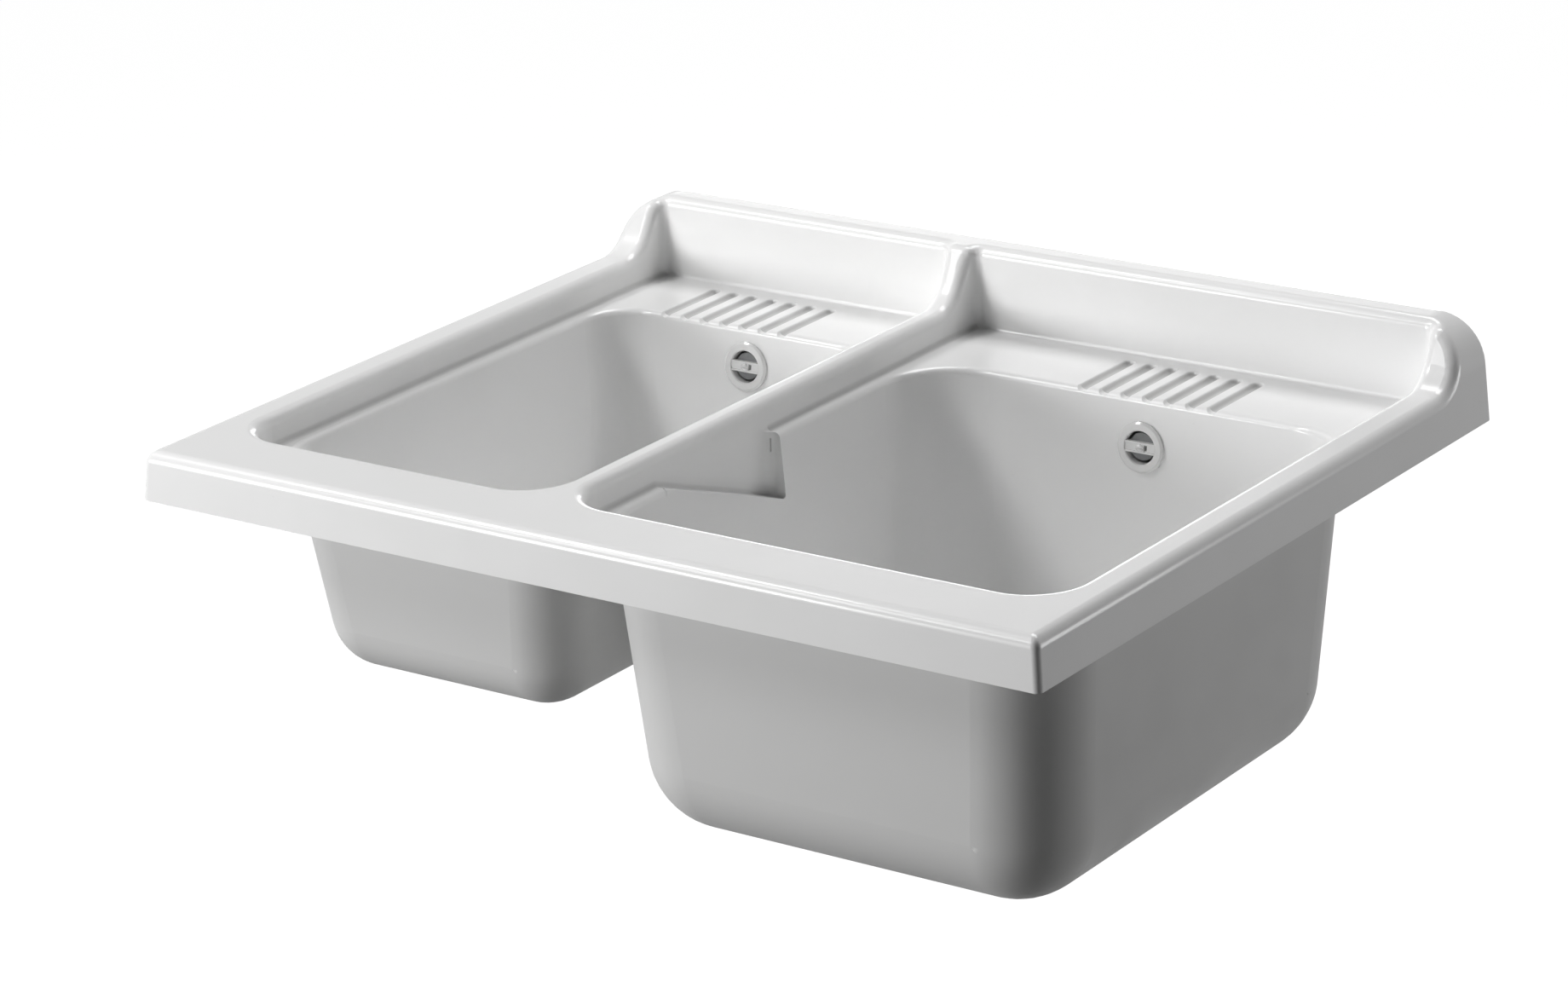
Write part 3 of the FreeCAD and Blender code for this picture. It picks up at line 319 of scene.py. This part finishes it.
LEFT_BOWL_MIDDLE = (-0.206, -0.31, -0.07)
RIGHT_BOWL_MIDDLE = (0.1465, -0.32, -0.1)
LEFT_CREASE = -0.3414
RIGHT_CREASE = -0.0484
NOTCH_DEPTH = 0.05


class Finish:
    """A material with one shader, its place and facing coordinates and its patterns."""

    def __init__(self, name, **constants):
        self.material = bpy.data.materials.new(name)
        self.material.use_nodes = True
        self.sheet = Sheet(self.material.node_tree)
        self.shader = self.material.node_tree.nodes["Principled BSDF"]
        coordinates = self.sheet.add("ShaderNodeTexCoord").outputs
        self.place = coordinates["Object"]
        self.facing = coordinates["Normal"]
        for label, value in constants.items():
            self.shader.inputs[label.replace("_", " ")].default_value = value

    def group(self, tree, **values):
        node = self.sheet.add("ShaderNodeGroup", node_tree=tree)
        self.sheet.join(self.place, node.inputs["Place"])
        if "Facing" in node.inputs:
            self.sheet.join(self.facing, node.inputs["Facing"])
        for label, value in values.items():
            node.inputs[label.replace("_", " ")].default_value = value
        return node.outputs

    def skin(self, wave, peel, peel_share, mottle):
        sizes = {"Wave_Scale": wave, "Peel_Scale": peel, "Peel_Share": peel_share, "Mottle_Scale": mottle}
        return self.group(MOULDED_SKIN, **sizes)

    def specks(self, scale, amount, strength):
        mask = self.group(FINE_SPECKS, Scale=scale, Amount=amount)["Mask"]
        return self.sheet.math("MULTIPLY", mask, strength)

    def colour(self, share, first, second):
        """Blend two colours by a share. The last blend that is made colours the surface."""
        mixed = self.sheet.blend(share, first, second)
        self.sheet.join(mixed, self.shader.inputs["Base Color"])
        return mixed

    def rough(self, value, low, high):
        self.sheet.join(self.sheet.spread(value, 0.0, 1.0, low, high), self.shader.inputs["Roughness"])

    def bump(self, height, distance, strength):
        node = self.sheet.add("ShaderNodeBump")
        node.inputs["Strength"].default_value = strength
        node.inputs["Distance"].default_value = distance
        self.sheet.join(height, node.inputs["Height"])
        self.sheet.join(node.outputs["Normal"], self.shader.inputs["Normal"])


def tub_resin():
    """Glossy white inside and on the deck, duller on the outside of the bowls. Painted shade makes the
    outside of the bowls, the feet of the recess walls and the shelf grooves greyer.
    """
    speck_grey = (0.62, 0.61, 0.6)
    crease_shade_grey = (0.45, 0.45, 0.445)
    groove_shade_grey = (0.6, 0.6, 0.595)
    bowl_outside_shade_grey = (0.8, 0.8, 0.795)
    finish = Finish("white_tub_resin", IOR=1.5, Coat_Roughness=0.1)
    sheet = finish.sheet
    skin = finish.skin(wave=14.0, peel=620.0, peel_share=0.05, mottle=5.0)
    specks = finish.specks(scale=150.0, amount=0.05, strength=0.1)
    # Painted shade: a grey line along the foot of both recess walls that follows the notch down.
    left_crease_shade = finish.group(PAINTED_CREASE_SHADE, Wall=LEFT_CREASE)["Mask"]
    right_crease_shade = finish.group(PAINTED_CREASE_SHADE, Wall=RIGHT_CREASE, Notch_Depth=NOTCH_DEPTH)["Mask"]
    crease_shade_mask = sheet.math("MULTIPLY", sheet.math("MAXIMUM", left_crease_shade, right_crease_shade), 0.6)
    # Painted shade: grey in the bottom of the shelf grooves.
    groove_shade_mask = finish.group(PAINTED_GROOVE_SHADE)["Mask"]
    middles = {"Left_Centre": LEFT_BOWL_MIDDLE, "Right_Centre": RIGHT_BOWL_MIDDLE}
    back = finish.group(BACK_OF_MOULDING, **middles)["Mask"]
    white = finish.colour(skin["Mottle"], (0.925, 0.925, 0.92), (0.945, 0.945, 0.945))
    white = finish.colour(specks, white, speck_grey)
    white = finish.colour(crease_shade_mask, white, crease_shade_grey)
    white = finish.colour(groove_shade_mask, white, groove_shade_grey)
    # The outside of the bowls is rougher and has no coat, and its greyer colour is painted shade.
    finish.colour(back, white, bowl_outside_shade_grey)
    front_rough = sheet.spread(skin["Smudge"], 0.0, 1.0, 0.29, 0.36)
    back_rough = sheet.spread(skin["Smudge"], 0.0, 1.0, 0.42, 0.55)
    finish.rough(back, front_rough, back_rough)
    sheet.join(sheet.spread(back, 0.0, 1.0, 0.4, 0.0), finish.shader.inputs["Coat Weight"])
    finish.bump(skin["Height"], 0.0006, 0.25)
    return finish.material


def rosette_plastic():
    finish = Finish("white_rosette_plastic", IOR=1.5, Coat_Weight=0.2, Coat_Roughness=0.05)
    skin = finish.skin(wave=60.0, peel=1500.0, peel_share=0.08, mottle=40.0)
    finish.colour(skin["Mottle"], (0.83, 0.83, 0.825), (0.87, 0.87, 0.865))
    finish.rough(skin["Smudge"], 0.14, 0.24)
    finish.bump(skin["Height"], 0.0002, 0.3)
    return finish.material


def fitting_plastic():
    finish = Finish("white_fitting_plastic", IOR=1.49)
    skin = finish.skin(wave=45.0, peel=1800.0, peel_share=0.35, mottle=30.0)
    specks = finish.specks(scale=420.0, amount=0.08, strength=0.2)
    white = finish.colour(skin["Mottle"], (0.78, 0.78, 0.77), (0.83, 0.83, 0.82))
    finish.colour(specks, white, (0.5, 0.5, 0.5))
    finish.rough(skin["Smudge"], 0.36, 0.5)
    finish.bump(skin["Height"], 0.0003, 0.4)
    return finish.material


def nut_plastic():
    finish = Finish("mid_grey_plastic", IOR=1.49)
    skin = finish.skin(wave=80.0, peel=2200.0, peel_share=0.6, mottle=55.0)
    finish.colour(skin["Mottle"], (0.24, 0.245, 0.25), (0.29, 0.295, 0.3))
    finish.rough(skin["Smudge"], 0.42, 0.58)
    finish.bump(skin["Height"], 0.0003, 0.5)
    return finish.material


def black_rubber():
    finish = Finish("black_seal_rubber", IOR=1.45)
    skin = finish.skin(wave=90.0, peel=2600.0, peel_share=0.8, mottle=70.0)
    specks = finish.specks(scale=700.0, amount=0.2, strength=0.4)
    black = finish.colour(skin["Mottle"], (0.022, 0.022, 0.023), (0.04, 0.04, 0.041))
    finish.colour(specks, black, (0.14, 0.14, 0.13))
    finish.rough(skin["Smudge"], 0.55, 0.75)
    finish.bump(skin["Height"], 0.0003, 0.5)
    return finish.material


def brushed_steel():
    finish = Finish("brushed_stainless_steel", Metallic=1.0)
    hairs = finish.group(HAIRLINE_SCUFFS, Scale=110.0, Stretch=0.05)
    skin = finish.skin(wave=50.0, peel=1200.0, peel_share=0.1, mottle=45.0)
    finish.colour(skin["Mottle"], (0.5, 0.5, 0.49), (0.6, 0.6, 0.6))
    finish.rough(hairs["Scuff"], 0.22, 0.42)
    finish.bump(hairs["Height"], 0.00006, 0.5)
    return finish.material


def plug_chrome():
    finish = Finish("plug_chrome", Metallic=1.0)
    hairs = finish.group(HAIRLINE_SCUFFS, Scale=90.0, Stretch=0.2)
    skin = finish.skin(wave=60.0, peel=900.0, peel_share=0.1, mottle=60.0)
    finish.colour(skin["Mottle"], (0.66, 0.66, 0.67), (0.72, 0.72, 0.73))
    finish.rough(hairs["Scuff"], 0.07, 0.2)
    finish.bump(skin["Height"], 0.0001, 0.15)
    return finish.material


FINISHES = {
    "tub_resin": tub_resin(),
    "rosette_plastic": rosette_plastic(),
    "fitting_plastic": fitting_plastic(),
    "nut_plastic": nut_plastic(),
    "black_rubber": black_rubber(),
    "steel": brushed_steel(),
    "plug_chrome": plug_chrome(),
}


def dress_cad_nodes():
    """Give every CAD node the finish of its material slot in the record."""
    for subpart in frame["record"]["subparts"]:
        node = frame["nodes"][subpart["node"]]
        node.data.materials.clear()
        node.data.materials.append(FINISHES[subpart["material_slot"]])


dress_cad_nodes()

# Pipe threads on the two waste outlets

THREAD_PITCH = 0.0023
THREAD_PROUD = 0.00035
THREAD_WIDTH = 0.0015
THREAD_RUN_OUT = 0.003
THREAD_STEPS = 72
MILLIMETRES_PER_METRE = 1000.0


def make_thread_tree():
    """A spiral ridge of a given radius, height and pitch about the upright axis."""
    sheet, given, result = start_group("outlet_thread", [
        ("Radius", FLOAT, None),
        ("Height", FLOAT, None),
        ("Pitch", FLOAT, THREAD_PITCH),
        ("Ridge Width", FLOAT, THREAD_WIDTH),
        ("Ridge Proud", FLOAT, THREAD_PROUD),
        ("Centre", VECTOR, None),
        ("Finish", "NodeSocketMaterial", None),
    ], [("Geometry", "NodeSocketGeometry")], "GeometryNodeTree")
    spiral = sheet.add("GeometryNodeCurveSpiral")
    spiral.inputs["Resolution"].default_value = THREAD_STEPS
    sheet.join(given["Radius"], spiral.inputs["Start Radius"])
    sheet.join(given["Radius"], spiral.inputs["End Radius"])
    sheet.join(given["Height"], spiral.inputs["Height"])
    turns = sheet.math("DIVIDE", given["Height"], given["Pitch"])
    sheet.join(turns, spiral.inputs["Rotations"])
    ridge = sheet.add("GeometryNodeCurvePrimitiveQuadrilateral", mode="KITE")
    sheet.join(given["Ridge Width"], ridge.inputs["Width"])
    sheet.join(given["Ridge Proud"], ridge.inputs["Bottom Height"])
    sheet.join(given["Ridge Proud"], ridge.inputs["Top Height"])
    turned = sheet.add("GeometryNodeTransform")
    turned.inputs["Rotation"].default_value = (0.0, 0.0, math.pi / 2)
    sheet.join(ridge.outputs["Curve"], turned.inputs["Geometry"])
    swept = sheet.add("GeometryNodeCurveToMesh")
    swept.inputs["Fill Caps"].default_value = True
    sheet.join(spiral.outputs["Curve"], swept.inputs["Curve"])
    sheet.join(turned.outputs["Geometry"], swept.inputs["Profile Curve"])
    moved = sheet.add("GeometryNodeTransform")
    sheet.join(swept.outputs["Mesh"], moved.inputs["Geometry"])
    sheet.join(given["Centre"], moved.inputs["Translation"])
    real = sheet.add("GeometryNodeRealizeInstances")
    sheet.join(moved.outputs["Geometry"], real.inputs["Geometry"])
    painted = sheet.add("GeometryNodeSetMaterial")
    sheet.join(real.outputs["Geometry"], painted.inputs["Geometry"])
    sheet.join(given["Finish"], painted.inputs["Material"])
    sheet.join(painted.outputs["Geometry"], result["Geometry"])
    return sheet.tree


def thread_on_outlet(name, mount_name, tree):
    """A thread ridge round one outlet, its place and size from the outlet's mount."""
    mount = next(item for item in frame["record"]["mounts"] if item["name"] == mount_name)
    length = mount["dims"]["length_mm"] / MILLIMETRES_PER_METRE
    height = length - THREAD_RUN_OUT
    x, y, z = mount["pos_m"]
    values = {
        "Radius": mount["dims"]["r_mm"] / MILLIMETRES_PER_METRE,
        "Height": height,
        "Centre": (x, y, z - height / 2),
        "Finish": FINISHES["fitting_plastic"],
    }
    holder = bpy.data.objects.new(name, bpy.data.meshes.new(name))
    scene.collection.objects.link(holder)
    modifier = holder.modifiers.new("thread", "NODES")
    modifier.node_group = tree
    for item in tree.interface.items_tree:
        if item.in_out == "INPUT" and item.name in values:
            modifier[item.identifier] = values[item.name]
    evaluated = holder.evaluated_get(bpy.context.evaluated_depsgraph_get())
    mesh = bpy.data.meshes.new_from_object(evaluated)
    holder.modifiers.remove(modifier)
    holder.data = mesh
    mesh.name = name
    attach(holder, "tub")


THREAD_TREE = make_thread_tree()
thread_on_outlet("left_outlet_thread", "left_waste_outlet", THREAD_TREE)
thread_on_outlet("right_outlet_thread", "right_waste_outlet", THREAD_TREE)

# Broad hubs behind the overflow rosettes

HUB_RADIUS = 0.0105
HUB_NECK = 0.0055
HUB_BORE = 0.0019
HUB_FACE = 0.0056
HUB_PLATE = 0.0025
HUB_FOOT = 0.0173
HUB_BEVEL = 0.0004
HUB_SEGMENTS = 64
LEFT_WALL_SLOPE = 0.117
RIGHT_WALL_SLOPE = 0.075


def overflow_hub(side, wall_slope):
    """A hub turned about the overflow screw, from the rosette's bar back to the elbow."""
    screw = frame["nodes"][side + "_overflow_screw"]
    axis = Vector((0.0, 1.0, -wall_slope)).normalized()
    points = [screw.matrix_world @ vertex.co for vertex in screw.data.vertices]
    middle = sum(points, Vector()) / len(points)
    crown = middle + axis * min((point - middle).dot(axis) for point in points)
    sideways = Vector((1.0, 0.0, 0.0))
    upward = sideways.cross(axis)
    outline = (
        (HUB_FACE, HUB_BORE),
        (HUB_FACE, HUB_RADIUS - HUB_BEVEL),
        (HUB_FACE + HUB_BEVEL, HUB_RADIUS),
        (HUB_FACE + HUB_PLATE, HUB_RADIUS),
        (HUB_FACE + HUB_PLATE, HUB_NECK),
        (HUB_FOOT, HUB_NECK),
        (HUB_FOOT, HUB_BORE),
    )
    corners = []
    for step in range(HUB_SEGMENTS):
        angle = 2 * math.pi * step / HUB_SEGMENTS
        outward = sideways * math.cos(angle) + upward * math.sin(angle)
        corners += [crown + axis * depth + outward * radius for depth, radius in outline]
    count = len(outline)
    faces = []
    for step in range(HUB_SEGMENTS):
        here = step * count
        there = (step + 1) % HUB_SEGMENTS * count
        for corner in range(count):
            following = (corner + 1) % count
            faces.append((here + corner, here + following, there + following, there + corner))
    name = side + "_overflow_hub"
    mesh = bpy.data.meshes.new(name)
    mesh.from_pydata(corners, [], faces)
    mesh.materials.append(FINISHES["nut_plastic"])
    hub = bpy.data.objects.new(name, mesh)
    scene.collection.objects.link(hub)
    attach(hub, "tub")


overflow_hub("left", LEFT_WALL_SLOPE)
overflow_hub("right", RIGHT_WALL_SLOPE)

# Floor, backdrop and light

FLOOR_LEVEL = -0.85
FLOOR_REACH = 14.0
FLOOR_GLOW = 0.98
AMBIENT = 0.02
WHITE = (1.0, 1.0, 1.0, 1.0)
LAMP_TARGET = Vector((0.0, -0.3, -0.05))

# Each soft light has a name, a place, a width, a height and a power
SOFTBOXES = (
    ("front_left_low_softbox", (-2.0, -2.8, 0.35), 1.4, 0.7, 58.0),
    ("front_left_high_softbox", (-1.5, -2.4, 1.9), 1.0, 0.8, 16.0),
    ("upper_left_softbox", (-1.6, -1.26, 2.18), 0.6, 0.6, 21.0),
    ("overhead_back_softbox", (-0.1, 0.9, 2.3), 1.6, 0.8, 33.0),
    ("back_right_softbox", (2.5, 1.3, 0.7), 1.2, 1.0, 2.0),
    ("back_right_low_softbox", (2.6, 1.6, -0.1), 1.2, 0.9, 18.0),
    ("back_left_softbox", (-1.8, 3.0, 0.3), 1.4, 1.0, 22.0),
)


def white_to_camera(sheet, mirrored):
    """Strength of a white ground: full when seen directly, and a given share in reflections."""
    seen = sheet.add("ShaderNodeLightPath").outputs
    reflected = sheet.math("MULTIPLY", seen["Is Glossy Ray"], mirrored)
    direct = sheet.math("ADD", seen["Is Camera Ray"], seen["Is Transmission Ray"], clamp=True)
    return sheet.math("MAXIMUM", direct, reflected)


def make_floor():
    """Pale floor that reads white to the camera and keeps the shadow."""
    signs = ((-1, -1), (1, -1), (1, 1), (-1, 1))
    corners = [(x * FLOOR_REACH, y * FLOOR_REACH, FLOOR_LEVEL) for x, y in signs]
    mesh = bpy.data.meshes.new("floor")
    mesh.from_pydata(corners, [], [(0, 1, 2, 3)])
    floor = bpy.data.objects.new("floor", mesh)
    scene.collection.objects.link(floor)
    finish = Finish("pale_floor", Roughness=0.9, Specular_IOR_Level=0.1, Emission_Color=WHITE)
    sheet = finish.sheet
    grain = finish.skin(wave=2.0, peel=60.0, peel_share=0.2, mottle=1.0)
    finish.colour(grain["Mottle"], (0.12, 0.12, 0.12), (0.14, 0.14, 0.14))
    behind = sheet.spread(sheet.axes(finish.place)["Y"], -2.0, 1.0, 0.2, 0.6)
    glow = sheet.math("MULTIPLY", white_to_camera(sheet, behind), FLOOR_GLOW)
    sheet.join(glow, finish.shader.inputs["Emission Strength"])
    mesh.materials.append(finish.material)


def make_world():
    """White to the camera. Reflections see a white wall behind the tub and a dim room elsewhere."""
    world = bpy.data.worlds.new("studio")
    world.use_nodes = True
    sheet = Sheet(world.node_tree)
    ground = world.node_tree.nodes["Background"]
    direction = sheet.axes(sheet.add("ShaderNodeTexCoord").outputs["Generated"])
    behind = sheet.rise(direction["Y"], -0.1, 0.45)
    below_ceiling = sheet.fall(direction["Z"], 0.45, 0.8)
    wall = sheet.spread(sheet.math("MULTIPLY", behind, below_ceiling), 0.0, 1.0, 0.06, 0.55)
    strength = sheet.math("MAXIMUM", white_to_camera(sheet, wall), AMBIENT)
    sheet.join(strength, ground.inputs["Strength"])
    ground.inputs["Color"].default_value = WHITE
    scene.world = world


def add_softbox(name, place, width, height, power):
    data = bpy.data.lights.new(name, "AREA")
    data.shape = "RECTANGLE"
    data.size = width
    data.size_y = height
    data.energy = power
    lamp = bpy.data.objects.new(name, data)
    aim = LAMP_TARGET - Vector(place)
    turn = aim.to_track_quat("-Z", "Y").to_matrix().to_4x4()
    lamp.matrix_world = Matrix.Translation(Vector(place)) @ turn
    scene.collection.objects.link(lamp)


make_floor()
make_world()
for softbox in SOFTBOXES:
    add_softbox(*softbox)
